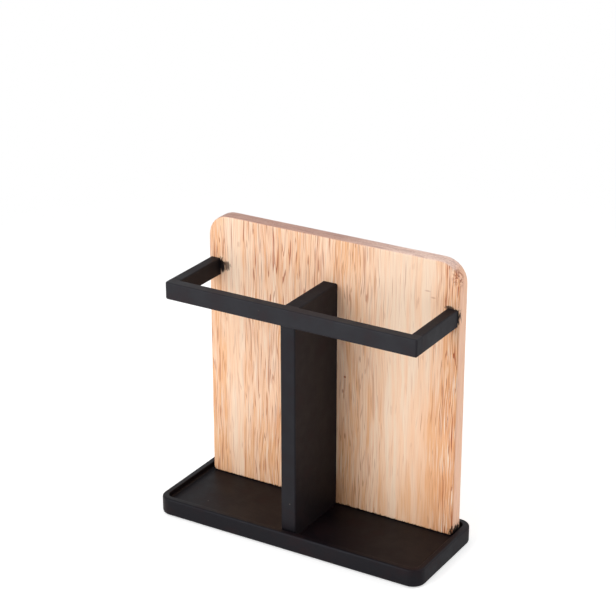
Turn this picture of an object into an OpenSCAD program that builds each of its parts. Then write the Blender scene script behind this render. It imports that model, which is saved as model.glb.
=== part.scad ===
// Two-compartment toothbrush holder: black lacquered tray, divider and guard rail on a wooden back board.
// The front faces -Y, up is +Z, and the origin lies under the middle of the tray, level with its feet.

/* [Tray] */
// Width of the tray from side to side
tray_w = 110; // [90:1:160]
// Depth of the tray from front to back
tray_d = 42.8; // [40:0.2:60]
// Height of the rim above the tray's underside
tray_h = 6.8; // [6.2:0.1:12]
// Thickness of the tray's floor
tray_floor_t = 4.6; // [4:0.1:5.2]
// Width of the rim's top, inside wall to outside wall
rim_w = 2.5; // [1.8:0.1:3.4]
// Corner radius of the tray seen from above
tray_corner_r = 5; // [4.4:0.1:9]
// Rounding of the tray's outer edges
tray_ease = 0.8; // [0.3:0.1:1]
// Rounding of the rim's inner edge
rim_ease = 0.4; // [0.2:0.1:0.6]
// Hollow fillet between the rim and the floor
floor_fillet = 0.8; // [0.3:0.1:0.8]

/* [Back board] */
// Thickness of the board
board_t = 6; // [5:0.2:9]
// Height of the board above the tray's floor
board_h = 104.7; // [95:0.1:150]
// Radius of the board's two top corners
board_corner_r = 8.5; // [3:0.5:16]
// Radius of the board's two bottom corners
board_foot_r = 1.6; // [1.6:0.1:4]
// Rounding of the board's edges
board_ease = 0.8; // [0.3:0.1:0.8]
// Gap between each side edge of the board and the inside of the rim
board_side_gap = 1.1; // [0.2:0.1:5]
// Gap between the board's back and the inside of the rim
board_back_gap = 1.7; // [0.2:0.1:3]

/* [Guard rail] */
// Distance of the rail's top below the board's top
rail_drop = 16.7; // [12:0.1:40]
// Height of the rail's bars
rail_h = 6.6; // [5.4:0.1:9]
// Thickness of the rail's bars, seen from above
rail_t = 4.2; // [4:0.1:6]
// Distance of the rail's front face behind the tray's front face
rail_setback = 2.6; // [0:0.1:6]
// Distance of each arm's outer face inside the board's side edge
rail_side_inset = 0.7; // [0.7:0.1:8]
// Corner radius of the rail seen from above
rail_corner_r = 1.2; // [1.2:0.1:2]
// Rounding of the rail's edges
rail_ease = 0.6; // [0.2:0.1:0.6]

/* [Divider] */
// Thickness of the divider panel
divider_t = 6; // [4.4:0.1:9]
// Distance of the divider's front face behind the rail's front face
divider_recess = 0.8; // [0.2:0.1:2]
// Rounding of the divider's front and top edges
divider_ease = 0.6; // [0.2:0.1:0.9]

/* [Screws] */
// Diameter of the screws
screw_d = 2; // [1.6:0.1:2.2]
// Diameter of the countersunk screw heads
screw_head_d = 3.8; // [3.2:0.1:4.4]
// Length of the screws, with the head
screw_l = 16; // [12:0.5:17]

/* [Dowels] */
// Diameter of the dowels that hold the front bar
dowel_d = 2; // [1.4:0.1:2.4]
// Length of the dowels
dowel_l = 10; // [7:0.5:12]

/* [Feet] */
// Diameter of the rubber feet
foot_d = 9; // [6:0.5:11]
// Thickness of the rubber feet
foot_t = 1.5; // [1.2:0.1:2]
// Height that the feet hold the tray off the table
foot_stand = 0.5; // [0.3:0.1:0.8]
// Distance of each foot's centre from the tray's sides
foot_inset = 9; // [7:0.5:13]

/* [Hidden] */
$fn = 48;
overrun = 1;

// Board and tray
tray_z = foot_stand;
floor_z = tray_z + tray_floor_t;
inner_w = tray_w - 2 * rim_w;
board_w = inner_w - 2 * board_side_gap;
board_back_y = tray_d / 2 - rim_w - board_back_gap;
board_front_y = board_back_y - board_t;
board_mid_y = board_back_y - board_t / 2;

// Rail
rail_top_h = board_h - rail_drop;
rail_w = board_w - 2 * rail_side_inset;
rail_front_y = rail_setback - tray_d / 2;
rail_back_y = rail_front_y + rail_t;
rail_top_z = floor_z + rail_top_h;
rail_mid_z = rail_top_z - rail_h / 2;
rail_bottom_z = rail_top_z - rail_h;
arm_x = (rail_w - rail_t) / 2;
arm_l = board_front_y - rail_back_y;

// Divider
divider_front_y = rail_front_y + divider_recess;
divider_l = board_front_y - divider_front_y;

// Screws
screw_gap = 0.05;
screw_land = screw_d / 8;
screw_head_h = (screw_head_d - screw_d) / 2 + screw_land;
screw_tip_h = screw_d;
recess_w = screw_head_d / 8;
recess_l = screw_head_d / 2;
recess_h = screw_head_h / 2;
divider_screw_shares = [0.26, 0.74];
board_screw_share = 0.34;
divider_foot_screw_share = 0.45;
rail_screw_at = [for (side = [-1, 1]) [side * arm_x, board_back_y, rail_mid_z]];
divider_screw_at = [for (share = divider_screw_shares) [0, board_back_y, floor_z + share * rail_top_h]];
board_screw_at = [for (side = [-1, 1]) [side * board_screw_share * board_w, board_mid_y, tray_z]];
divider_foot_screw_at = [0, divider_front_y + divider_foot_screw_share * divider_l, tray_z];

// Dowels
dowel_gap = 0.05;
dowel_chamfer = dowel_d / 8;
dowel_cover = 1.6;
dowel_y = rail_front_y + dowel_cover;
dowel_x = [-arm_x, 0, arm_x];

// Feet
foot_gap = 0.1;
foot_ease = foot_t / 5;
foot_x = tray_w / 2 - foot_inset;
foot_y = tray_d / 2 - foot_inset;

// Shared shapes

// A rectangle round the origin with rounded corners
module eased_rect(w, h, r) {
    square([w - 2 * r, h], center = true);
    square([w, h - 2 * r], center = true);
    for (side = [-1, 1], end = [-1, 1])
        translate([side * (w / 2 - r), end * (h / 2 - r)]) circle(r);
}

// Half of the section of a round corner with eased edges, for turning about the Y axis
module corner_section(corner_r, h, r) {
    translate([0, -h / 2]) square([corner_r - r, h]);
    translate([0, r - h / 2]) square([corner_r, h - 2 * r]);
    for (end = [-1, 1])
        translate([corner_r - r, end * (h / 2 - r)]) circle(r);
}

// A flat panel round the origin with round corners in its plane and eased edges
module eased_panel(w, d, h, corner_r, r) {
    rotate([90, 0, 90]) linear_extrude(w - 2 * corner_r, center = true) eased_rect(d, h, r);
    rotate([90, 0, 0]) linear_extrude(d - 2 * corner_r, center = true) eased_rect(w, h, r);
    for (side = [-1, 1], end = [-1, 1])
        translate([side * (w / 2 - corner_r), end * (d / 2 - corner_r), 0])
            rotate_extrude() corner_section(corner_r, h, r);
}

// A bar with eased edges that runs from y = from_y to y = to_y
module bar_along_y(w, h, r, from_y, to_y) {
    translate([0, to_y, 0]) rotate([90, 0, 0]) linear_extrude(to_y - from_y) eased_rect(w, h, r);
}

// Half of the section of a countersunk screw along Z with its head flush with z = 0, or of its room
module screw_section(above, gap, tip_h) {
    polygon([
        [0, above],
        [screw_head_d / 2 + gap, above],
        [screw_head_d / 2 + gap, -screw_land],
        [screw_d / 2 + gap, -screw_head_h],
        [screw_d / 2 + gap, tip_h - screw_l - gap],
        [0, -screw_l - gap]
    ]);
}

// A countersunk screw with a cross recess
module screw() {
    color("silver") difference() {
        rotate_extrude() screw_section(0, 0, screw_tip_h);
        for (turn = [0, 90])
            rotate([0, 0, turn])
                translate([-recess_l / 2, -recess_w / 2, -recess_h])
                    cube([recess_l, recess_w, recess_h + overrun]);
    }
}

// The room that a screw takes: countersink and drilled hole
module screw_room() {
    rotate_extrude() screw_section(overrun, screw_gap, 0);
}

// Turns a screw, or its room, to go in from the board's back at a place
module from_back(at) {
    translate(at) rotate([-90, 0, 0]) children();
}

// Turns a screw, or its room, to go up from the tray's underside at a place
module from_below(at) {
    translate(at) rotate([180, 0, 0]) children();
}

// A wooden dowel with chamfered ends, from the front bar back into what it holds
module dowel(x) {
    color("tan") translate([x, dowel_y, rail_mid_z]) rotate([-90, 0, 0]) rotate_extrude() polygon([
        [0, 0],
        [dowel_d / 2 - dowel_chamfer, 0],
        [dowel_d / 2, dowel_chamfer],
        [dowel_d / 2, dowel_l - dowel_chamfer],
        [dowel_d / 2 - dowel_chamfer, dowel_l],
        [0, dowel_l]
    ]);
}

// The holes for all three dowels
module dowel_rooms() {
    for (x = dowel_x)
        translate([x, dowel_y - dowel_gap, rail_mid_z]) rotate([-90, 0, 0])
            cylinder(h = dowel_l + 2 * dowel_gap, d = dowel_d + 2 * dowel_gap);
}

// Tray

// Section through the rim and the edge of the floor, from the outside wall inwards
module rim_section() {
    difference() {
        union() {
            translate([0, tray_ease]) square([rim_w, tray_h - 2 * tray_ease]);
            translate([tray_ease, 0]) square([rim_w - tray_ease, tray_h - rim_ease]);
            translate([tray_ease, 0]) square([rim_w - tray_ease - rim_ease, tray_h]);
            translate([tray_ease, 0]) square([tray_corner_r - tray_ease, tray_floor_t]);
            translate([tray_ease, 0]) square([rim_w + floor_fillet - tray_ease, tray_floor_t + floor_fillet]);
            for (z = [tray_ease, tray_h - tray_ease]) translate([tray_ease, z]) circle(tray_ease);
            translate([rim_w - rim_ease, tray_h - rim_ease]) circle(rim_ease);
        }
        translate([rim_w + floor_fillet, tray_floor_t + floor_fillet]) circle(floor_fillet);
    }
}

// The tray's solid before it is drilled
module tray_blank() {
    straight_w = tray_w - 2 * tray_corner_r;
    straight_d = tray_d - 2 * tray_corner_r;
    for (side = [0, 1], end = [0, 1])
        mirror([side, 0, 0]) mirror([0, end, 0])
            translate([straight_w / 2, straight_d / 2, 0])
                rotate_extrude(angle = 90) translate([tray_corner_r, 0]) mirror([1, 0]) rim_section();
    for (end = [0, 1])
        mirror([0, end, 0]) rotate([90, 0, 90])
            linear_extrude(straight_w, center = true) translate([tray_d / 2, 0]) mirror([1, 0]) rim_section();
    for (side = [0, 1])
        mirror([side, 0, 0]) rotate([90, 0, 0])
            linear_extrude(straight_d, center = true) translate([tray_w / 2, 0]) mirror([1, 0]) rim_section();
    translate([-straight_w / 2, -straight_d / 2, 0]) cube([straight_w, straight_d, tray_floor_t]);
}

// Tray with a raised rim, pockets for the feet and countersunk holes underneath
module base_tray() {
    color("#26242a") difference() {
        translate([0, 0, tray_z]) tray_blank();
        for (at = board_screw_at) from_below(at) screw_room();
        from_below(divider_foot_screw_at) screw_room();
        for (side = [-1, 1], end = [-1, 1])
            translate([side * foot_x, end * foot_y, -overrun])
                cylinder(h = foot_t + overrun, d = foot_d + 2 * foot_gap);
    }
}

// A round rubber foot with an eased lower edge, in its pocket under the tray
module foot(side, end) {
    color("#3a3a3c") translate([side * foot_x, end * foot_y, 0]) rotate_extrude() {
        square([foot_d / 2 - foot_ease, foot_t]);
        translate([0, foot_ease]) square([foot_d / 2, foot_t - foot_ease]);
        translate([foot_d / 2 - foot_ease, foot_ease]) circle(foot_ease);
    }
}

module foot_front_left() { foot(-1, -1); }
module foot_front_right() { foot(1, -1); }
module foot_back_left() { foot(-1, 1); }
module foot_back_right() { foot(1, 1); }

// Board

// Upright board with round top corners, standing in the tray
module back_board() {
    tall = (board_h + board_corner_r) / 2;
    color("#e8bd8f") difference() {
        translate([0, board_mid_y, floor_z]) rotate([90, 0, 0]) {
            translate([0, tall / 2, 0])
                eased_panel(board_w, tall, board_t, board_foot_r, board_ease);
            translate([0, board_h - tall / 2, 0])
                eased_panel(board_w, tall, board_t, board_corner_r, board_ease);
        }
        for (at = rail_screw_at) from_back(at) screw_room();
        for (at = divider_screw_at) from_back(at) screw_room();
        for (at = board_screw_at) from_below(at) screw_room();
    }
}

// Divider

// Upright panel between the compartments, stepped at the top front to carry the rail
module divider_panel() {
    color("#2c2a2e") difference() {
        union() {
            translate([0, divider_front_y + divider_l / 2, floor_z])
                linear_extrude(rail_bottom_z - floor_z) intersection() {
                    translate([0, divider_ease])
                        eased_rect(divider_t, divider_l + 2 * divider_ease, divider_ease);
                    square([divider_t, divider_l], center = true);
                }
            translate([0, board_front_y, floor_z])
                rotate([90, 0, 0]) linear_extrude(arm_l) intersection() {
                    translate([0, rail_top_h / 2 - divider_ease])
                        eased_rect(divider_t, rail_top_h + 2 * divider_ease, divider_ease);
                    translate([-divider_t / 2, 0]) square([divider_t, rail_top_h]);
                }
        }
        dowel_rooms();
        for (at = divider_screw_at) from_back(at) screw_room();
        from_below(divider_foot_screw_at) screw_room();
    }
}

// Rail

// Front bar, full at the places where the arms and the divider meet it
module rail_front_bar() {
    color("#323234") difference() {
        union() {
            translate([0, rail_front_y + rail_t / 2, rail_mid_z]) {
                rotate([90, 0, 90]) linear_extrude(rail_w - 2 * rail_corner_r, center = true)
                    eased_rect(rail_t, rail_h, rail_ease);
                for (side = [-1, 1])
                    translate([side * (rail_w / 2 - rail_corner_r), rail_corner_r - rail_t / 2, 0])
                        rotate_extrude() corner_section(rail_corner_r, rail_h, rail_ease);
            }
            for (side = [-1, 1])
                translate([side * arm_x, 0, rail_mid_z])
                    bar_along_y(rail_t, rail_h, rail_ease, rail_front_y + rail_corner_r, rail_back_y);
            translate([0, 0, rail_mid_z])
                bar_along_y(divider_t, rail_h, divider_ease, rail_front_y + rail_corner_r, rail_back_y);
        }
        dowel_rooms();
    }
}

// One arm, from the front bar back to the board
module rail_arm(side) {
    color("#2f2e31") difference() {
        translate([side * arm_x, 0, rail_mid_z])
            bar_along_y(rail_t, rail_h, rail_ease, rail_back_y, board_front_y);
        dowel_rooms();
        for (at = rail_screw_at) from_back(at) screw_room();
    }
}

module rail_left_arm() { rail_arm(-1); }
module rail_right_arm() { rail_arm(1); }

// Fasteners

module corner_dowel_left() { dowel(-arm_x); }
module corner_dowel_right() { dowel(arm_x); }
module centre_dowel() { dowel(0); }
module rail_screw_left() { from_back(rail_screw_at[0]) screw(); }
module rail_screw_right() { from_back(rail_screw_at[1]) screw(); }
module divider_screw_lower() { from_back(divider_screw_at[0]) screw(); }
module divider_screw_upper() { from_back(divider_screw_at[1]) screw(); }
module board_screw_left() { from_below(board_screw_at[0]) screw(); }
module board_screw_right() { from_below(board_screw_at[1]) screw(); }
module divider_foot_screw() { from_below(divider_foot_screw_at) screw(); }

base_tray();
back_board();
divider_panel();
rail_front_bar();
rail_left_arm();
rail_right_arm();
corner_dowel_left();
corner_dowel_right();
centre_dowel();
rail_screw_left();
rail_screw_right();
divider_screw_lower();
divider_screw_upper();
board_screw_left();
board_screw_right();
divider_foot_screw();
foot_front_left();
foot_front_right();
foot_back_left();
foot_back_right();
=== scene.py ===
"""Toothbrush holder: black lacquered tray, divider and guard rail on an upright board of pale wood.

Units are metres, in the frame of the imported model: the front faces -Y and up is +Z.
"""

import math

import bmesh
import bpy
import numpy as np
from bpy.props import FloatProperty, FloatVectorProperty, IntProperty, PointerProperty
from bpy.types import Operator, Panel, PropertyGroup
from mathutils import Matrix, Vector, noise
from mathutils.geometry import delaunay_2d_cdt


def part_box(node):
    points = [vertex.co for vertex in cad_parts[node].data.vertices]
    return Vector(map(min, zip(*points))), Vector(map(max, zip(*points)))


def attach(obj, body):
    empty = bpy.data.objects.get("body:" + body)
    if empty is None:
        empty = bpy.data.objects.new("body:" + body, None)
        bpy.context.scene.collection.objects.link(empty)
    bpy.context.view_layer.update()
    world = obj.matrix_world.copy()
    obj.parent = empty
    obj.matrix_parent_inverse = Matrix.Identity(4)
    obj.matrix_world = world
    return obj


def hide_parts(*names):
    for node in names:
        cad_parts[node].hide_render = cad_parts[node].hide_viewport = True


bl_info = {
    "name": "Toothbrush Holder",
    "version": (1, 0, 0),
    "blender": (4, 5, 0),
    "location": "View3D > Sidebar > Holder",
    "description": "Dresses a two-compartment toothbrush holder in pale wood and black lacquer",
    "category": "Object",
}

MM = 0.001
BODY = "root"
X, Y, Z = range(3)

# Mesh fineness: how far apart points lie on flat faces, then how many go round holes and corners
BOARD_MESH = 2.2 * MM
BAR_MESH = 1.6 * MM
RECESS_MESH = 0.6 * MM
ROUND = 32
CORNER_STEPS = 8
RAIL_CORNER_STEPS = 6
EDGE_STEPS = 5
RIM_STEPS = 4
EDGE_SPANS = 3
THREAD_RINGS = 8
WELD = 0.001 * MM
# How far a face's inner points stay off its outline, in spacings, and how wide a face is cut for a hole
CLEAR_SHARE = 0.6
BORE_CLEAR = 1.4 * MM

# Waves of the uneven faces, and how far from a face that meets another piece they are at full depth
BOARD_WAVE = 16 * MM
LACQUER_WAVE = 14 * MM
FREE_FROM = 1.5 * MM

# Screw holes and foot pockets, as the CAD pieces have them
ROOM = 0.05 * MM
SHANK = 1 * MM
SHANK_ROOM = SHANK + ROOM
HEAD_ROOM = 1.9 * MM + ROOM
HEAD_LAND = 0.25 * MM
HEAD_HEIGHT = 1.15 * MM
FOOT_ROOM = 4.6 * MM
# Bare neck of a screw between its head and its thread, and the head's shallow dish
NECK = 2 * MM
DISH = 0.04 * MM

# The board's look, in millimetres of the CAD frame: its face, and how far its rings slant with depth
FACE_PLANE = 11.2
RING_SLANT = 0.8
# How warm the wood is across the face, from pale 0 to amber 1; the deep amber at the right edge is partly
# painted shade
WARM_BANDS = (
    (-52, 0.7), (-49.5, 0.75), (-48, 0.95), (-46.5, 0.55), (-45.5, 0.8), (-44, 0.3), (-41, 0.15),
    (-38, 0.2), (-36.5, 0.5), (-35, 0.3), (-33, 0.55), (-30, 0.4), (-28, 0.6), (-25, 0.4), (-22, 0.6),
    (-17, 0.45), (-13, 0.6), (-8, 0.45), (0, 0.5), (6, 0.65), (14, 0.55), (20, 0.35), (24, 0.15),
    (30, 0.1), (37, 0.1), (41, 0.35), (44, 0.6), (46, 0.95), (49, 0.85), (52, 1.0),
)
# How many streaks and pores it has there, more than 1 where they crowd
BUSY_BANDS = (
    (-52, 0.9), (-48, 1.0), (-44, 0.5), (-42, 0.3), (-38, 0.3), (-36, 0.9), (-28, 1.0), (-10, 0.9),
    (8, 0.7), (19, 0.5), (24, 0.15), (39, 0.15), (43, 0.6), (45.5, 0.9), (47.5, 1.5), (52, 1.5),
)
# Dark flecks on the face: centre across and up, half width and half height, and strength
MARK_DEPTH = 3
BOARD_MARKS = (
    ((6.3, 57.6), (0.7, 0.6), 0.9),
    ((5.5, 51.8), (0.5, 1.2), 0.6),
    ((6.5, 34.0), (0.5, 1.6), 0.5),
    ((-41.6, 102.0), (0.3, 8.0), 0.6),
    ((-45.2, 98.5), (0.4, 5.0), 0.5),
    ((-48.4, 62.0), (0.5, 5.0), 0.5),
    ((-28.0, 13.0), (0.4, 6.0), 0.6),
    ((30.2, 102.0), (0.3, 7.0), 0.4),
    ((47.2, 102.5), (0.4, 4.0), 0.5),
    ((38.9, 97.8), (1.6, 0.4), 0.35),
    ((41.1, 95.7), (1.3, 0.5), 0.35),
)
# Black on the wood: round the arms' ends partly lacquer smeared there and partly painted contact shade,
# along the board's foot a painted contact shadow, and at the right foot corner painted shade. Centre,
# half size, strength
SMEARS_AND_SHADE = (
    ((-45.9, 11.2, 90.3), (2.2, 3, 3.3), 1.0),
    ((-43.8, 11.2, 90.8), (1.9, 3, 2.2), 0.8),
    ((50.3, 11.2, 90.4), (1.6, 3, 3.6), 1.0),
    ((47.5, 11.2, 93.2), (2.4, 3, 1.1), 0.9),
    ((0, 11.2, 4.3), (90, 3, 1.7), 1.0),
    ((51.6, 13.5, 5.5), (2.6, 6, 4.2), 1.0),
)
# The rough patch at the right top corner: centre and half size
ROUGH_CORNER = (50.4, 12.2, 104.8), (3.4, 3.4, 4.6)

SIDES = ("left", "right")
BACK_SCREWS = ("rail_screw_left", "rail_screw_right", "divider_screw_lower", "divider_screw_upper")
BELOW_SCREWS = ("board_screw_left", "board_screw_right", "divider_foot_screw")
DOWELS = ("corner_dowel_left", "corner_dowel_right", "centre_dowel")
FEET = ("foot_front_left", "foot_front_right", "foot_back_left", "foot_back_right")

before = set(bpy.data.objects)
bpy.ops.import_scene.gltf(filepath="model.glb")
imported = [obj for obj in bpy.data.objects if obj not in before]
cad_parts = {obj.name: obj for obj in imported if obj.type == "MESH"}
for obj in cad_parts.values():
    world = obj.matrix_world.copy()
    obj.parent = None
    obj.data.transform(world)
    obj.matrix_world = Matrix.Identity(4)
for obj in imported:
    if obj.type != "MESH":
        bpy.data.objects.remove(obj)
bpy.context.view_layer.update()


def srgb(red, green, blue):
    """A colour written in 0 to 255 as shown on screen, as the linear colour that shaders take."""
    def linear(level):
        share = level / 255
        return share / 12.92 if share <= 0.04045 else ((share + 0.055) / 1.055) ** 2.4
    return (linear(red), linear(green), linear(blue))


# Settings

def amount(name, description, default, unit="NONE"):
    """An amount of at least 0."""
    return FloatProperty(name=name, description=description, default=default, unit=unit, min=0.0)


def length(name, description, default):
    """A size in metres."""
    return amount(name, description, default, "LENGTH")


def share(name, description, default):
    """A share from 0 to 1."""
    return FloatProperty(name=name, description=description, default=default, subtype="FACTOR",
                         min=0.0, max=1.0)


def angle(name, description, degrees):
    """An angle, given here in degrees."""
    return FloatProperty(name=name, description=description, default=math.radians(degrees),
                         subtype="ANGLE", unit="ROTATION")


def colour(name, description, default):
    """A colour, given here as shown on screen."""
    return FloatVectorProperty(name=name, description=description, default=srgb(*default),
                               subtype="COLOR", size=3, min=0.0, max=1.0)


class BoardSettings(PropertyGroup):
    """Shape and wood of the upright board"""

    corner_radius: length("Top corner radius", "Radius of the two top corners", 8.5 * MM)
    foot_radius: length("Foot corner radius", "Radius of the two bottom corners", 1.6 * MM)
    ease: length("Eased edge", "Rounding of the sanded edges", 0.8 * MM)
    unevenness: length("Unevenness", "How deep sanding left the faces uneven", 0.06 * MM)
    palest: colour("Palest fibres", "Colour of the palest fibres", (255, 240, 222))
    pale: colour("Pale wood", "Colour of the pale bands of the face", (254, 225, 198))
    peach: colour("Warm wood", "Colour of most of the face", (255, 214, 180))
    amber: colour("Deep wood", "Colour of the warmest bands of the face", (248, 194, 148))
    streak: colour("Streaks", "Colour of the broad streaks along the grain", (228, 148, 94))
    fibre: colour("Dark fibres", "Colour of the fine dark fibres", (206, 126, 76))
    pore: colour("Pores", "Colour of the open pores", (164, 72, 34))
    rough_grain: colour("Rough grain", "Colour of the rough grain at the right top corner", (160, 88, 60))
    # Black of the lacquer smears round the arms' ends, also used for the painted contact shadow and shade
    # at the board's foot
    smear_and_shade: colour("Smears", "Colour of the lacquer smeared on the wood", (24, 16, 14))
    # Painted light: the side edges are lightened to stand in for light falling from the right
    side_edge_light: colour("Side edges", "Colour of the board's two side edges", (255, 208, 180))
    end_grain: colour("End grain", "Colour of the top and bottom edges", (210, 170, 154))
    end_grain_pale: colour("Pale end grain", "Colour of those edges towards the right", (255, 222, 206))
    end_layer: colour("End grain layers", "Colour of the dark layers on those edges", (132, 92, 96))
    roughness: share("Roughness", "Roughness of the sanded and oiled wood", 0.55)


class LacquerSettings(PropertyGroup):
    """Shape and finish of the black pieces"""

    tray_corner: length("Tray corner radius", "Radius of the tray's corners seen from above", 5 * MM)
    tray_ease: length("Tray eased edge", "Rounding of the tray's outer edges", 0.8 * MM)
    rim_width: length("Rim width", "Width of the tray's rim", 2.5 * MM)
    rim_ease: length("Rim inner edge", "Rounding of the rim's inner edge", 0.4 * MM)
    floor_fillet: length("Floor fillet", "Hollow fillet where the rim meets the floor", 0.8 * MM)
    left_corner: length("Left rail corner", "Radius of the rail's left front corner", 1.2 * MM)
    right_corner: length("Right rail corner", "Radius of its right front corner, the crisper", 0.7 * MM)
    bar_ease: length("Bar eased edge", "Rounding of the edges of the rail and divider", 0.6 * MM)
    unevenness: length("Unevenness", "How deep the wood under the lacquer is uneven", 0.05 * MM)
    black: colour("Lacquer", "Colour of the black lacquer", (9, 6, 11))
    worn: colour("Thin lacquer", "Colour where the lacquer is thin", (30, 11, 12))
    sheen: colour("Sheen", "Tint of what the lacquer reflects", (243, 246, 255))
    dust: colour("Dust", "Colour of the specks of dust on the lacquer", (150, 138, 130))
    roughness: share("Roughness", "Roughness of the satin lacquer", 0.6)
    dulled: share("Dulled ends", "How much rougher the lacquer is on end grain", 0.16)
    rubbed: share("Rubbed tray", "How much smoother the tray's lacquer is", 0.12)
    tray_gloss: share("Tray gloss", "Specular level of the tray's lacquer", 0.156)
    divider_gloss: share("Divider gloss", "Specular level of the divider's lacquer", 0.24)
    bar_gloss: share("Bar gloss", "Specular level of the front bar's lacquer", 0.32)
    arm_gloss: share("Arm gloss", "Specular level of the arms' lacquer", 0.205)


class FixingSettings(PropertyGroup):
    """Screws, dowels and feet"""

    thread_pitch: length("Thread pitch", "Pitch of the wood screws", 0.9 * MM)
    thread_depth: length("Thread depth", "Depth of the screws' thread", 0.3 * MM)
    flutes: IntProperty(name="Dowel flutes", description="Number of grooves along each dowel", default=10,
                        min=3)
    zinc: colour("Zinc", "Colour of the zinc plated screws", (196, 198, 196))
    beech: colour("Beech", "Colour of the dowels", (222, 188, 148))
    rubber: colour("Rubber", "Colour of the feet", (58, 58, 60))


class StageSettings(PropertyGroup):
    """Camera, floor and lamps"""

    floor: colour("Floor", "Colour of the floor", (244, 244, 244))
    lens: amount("Lens", "Focal length on a 36 mm sensor", 0.11227, "CAMERA")
    azimuth: angle("Azimuth", "How far the camera stands round to the right", 30.9)
    elevation: angle("Elevation", "How far the camera stands above the object", 22.56)
    distance: length("Distance", "From the camera to the point it looks at", 689 * MM)
    look_at: FloatVectorProperty(name="Look at", description="Point in the middle of the picture",
                                 default=(-8.3 * MM, 9.8 * MM, 81.9 * MM), subtype="TRANSLATION",
                                 unit="LENGTH", size=3)
    key_power: amount("Key lamp", "Power of the large lamp at the front left", 2.75, "POWER")
    side_power: amount("Side lamp", "Power of the lamp at the back right", 1.3, "POWER")
    floor_lift: amount("Floor lift", "Brightness added to whiten the open floor", 0.5)
    floor_radius: length("Floor radius", "Radius at which the floor has faded out", 400 * MM)
    room: amount("Room light", "Strength of the light from all around", 0.4)


class HolderSettings(PropertyGroup):
    """All settings of the holder"""

    board: PointerProperty(type=BoardSettings)
    lacquer: PointerProperty(type=LacquerSettings)
    fixings: PointerProperty(type=FixingSettings)
    stage: PointerProperty(type=StageSettings)


# Outlines and profiles

def arc(centre_x, centre_y, radius, start, end, steps):
    """Points of an arc, angles in degrees."""
    points = []
    for i in range(steps + 1):
        turn = math.radians(start + (end - start) * i / steps)
        points.append((centre_x + radius * math.cos(turn), centre_y + radius * math.sin(turn)))
    return points


def stepped(first, last, span, spacing):
    """Points from first towards last, but without it, as many as span has steps of that spacing."""
    count = max(round(span / spacing), 1)
    (x0, y0), (x1, y1) = first, last
    return [(x0 + (x1 - x0) * k / count, y0 + (y1 - y0) * k / count) for k in range(count)]


def rounded_outline(low, high, radii, inset, spacing, steps=CORNER_STEPS):
    """Points round a rectangle, counter-clockwise, drawn in by inset.

    radii are those of the lower left, lower right, upper right and upper left corner, before the inset.
    Every inset gives the same number of points, so that outlines can be lofted.
    """
    (left, bottom), (right, top) = low, high
    ends = ((left, bottom, 1, 1, 180), (right, bottom, -1, 1, 270), (right, top, -1, -1, 0),
            (left, top, 1, -1, 90))
    corners = []
    for radius, (x, y, inwards, up, start) in zip(radii, ends):
        centre = (x + inwards * radius, y + up * radius)
        corners.append(arc(*centre, max(radius - inset, 0.0), start, start + 90, steps))
    points = []
    for i, corner in enumerate(corners):
        following = (i + 1) % 4
        span = abs(high[i % 2] - low[i % 2] - radii[i] - radii[following])
        points += corner[:-1] + stepped(corner[-1], corners[following][0], span, spacing)
    return points


def eased_edge(ease, thickness):
    """Pairs of inset and depth from one flat face over both eased edges to the other."""
    half = [(ease - x, ease - y) for x, y in arc(0, 0, ease, 90, 0, EDGE_STEPS)]
    wall = [(0.0, ease + (thickness - 2 * ease) * k / EDGE_SPANS) for k in range(1, EDGE_SPANS)]
    return half + wall + [(inset, thickness - depth) for inset, depth in reversed(half)]


def circle(centre_x, centre_y, radius, steps=ROUND):
    """Points of a whole circle."""
    return arc(centre_x, centre_y, radius, 0, 360 - 360 / steps, steps - 1)


def dense(corners_at, inset, spacing):
    """The closed outline through the corners at that inset, with points added along its long sides.

    Every inset gives the same number of points, so that outlines can be lofted.
    """
    whole, corners = corners_at(0.0), corners_at(inset)
    points = []
    for i in range(len(corners)):
        j = (i + 1) % len(corners)
        points += stepped(corners[i], corners[j], math.dist(whole[i], whole[j]), spacing)
    return points


# Building meshes

def apart(loop):
    """The loop without points that repeat the one before."""
    kept = [p for i, p in enumerate(loop) if math.dist(p, loop[i - 1]) > WELD]
    return kept or loop


def inside(points, loops):
    """For each 2-D point, whether it lies inside the first loop and outside the holes that follow."""
    x, y = np.asarray(points).reshape(-1, 2).T
    within = np.zeros(len(x), bool)
    for loop in loops:
        for (x0, y0), (x1, y1) in zip(loop, loop[1:] + loop[:1]):
            if y0 != y1:
                crosses = (y0 > y) != (y1 > y)
                within ^= crosses & (x < x0 + (y - y0) * (x1 - x0) / (y1 - y0))
    return within


def grid_within(loops, spacing):
    """Staggered grid points inside the first loop and outside the others, clear of all of them."""
    border = np.array([p for loop in loops for p in loop])
    low, high = border.min(0), border.max(0)
    points = []
    for row, y in enumerate(np.arange(low[1] + spacing / 2, high[1], spacing)):
        shift = spacing / 2 * (row % 2)
        points += [(x, y) for x in np.arange(low[0] + spacing / 2 + shift, high[0], spacing)]
    points = np.array(points).reshape(-1, 2)
    points = points[inside(points, loops)]
    gaps = np.sqrt(((points[:, None] - border[None]) ** 2).sum(2)).min(1)
    return [tuple(p) for p in points[gaps > spacing * CLEAR_SHARE]]


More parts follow.
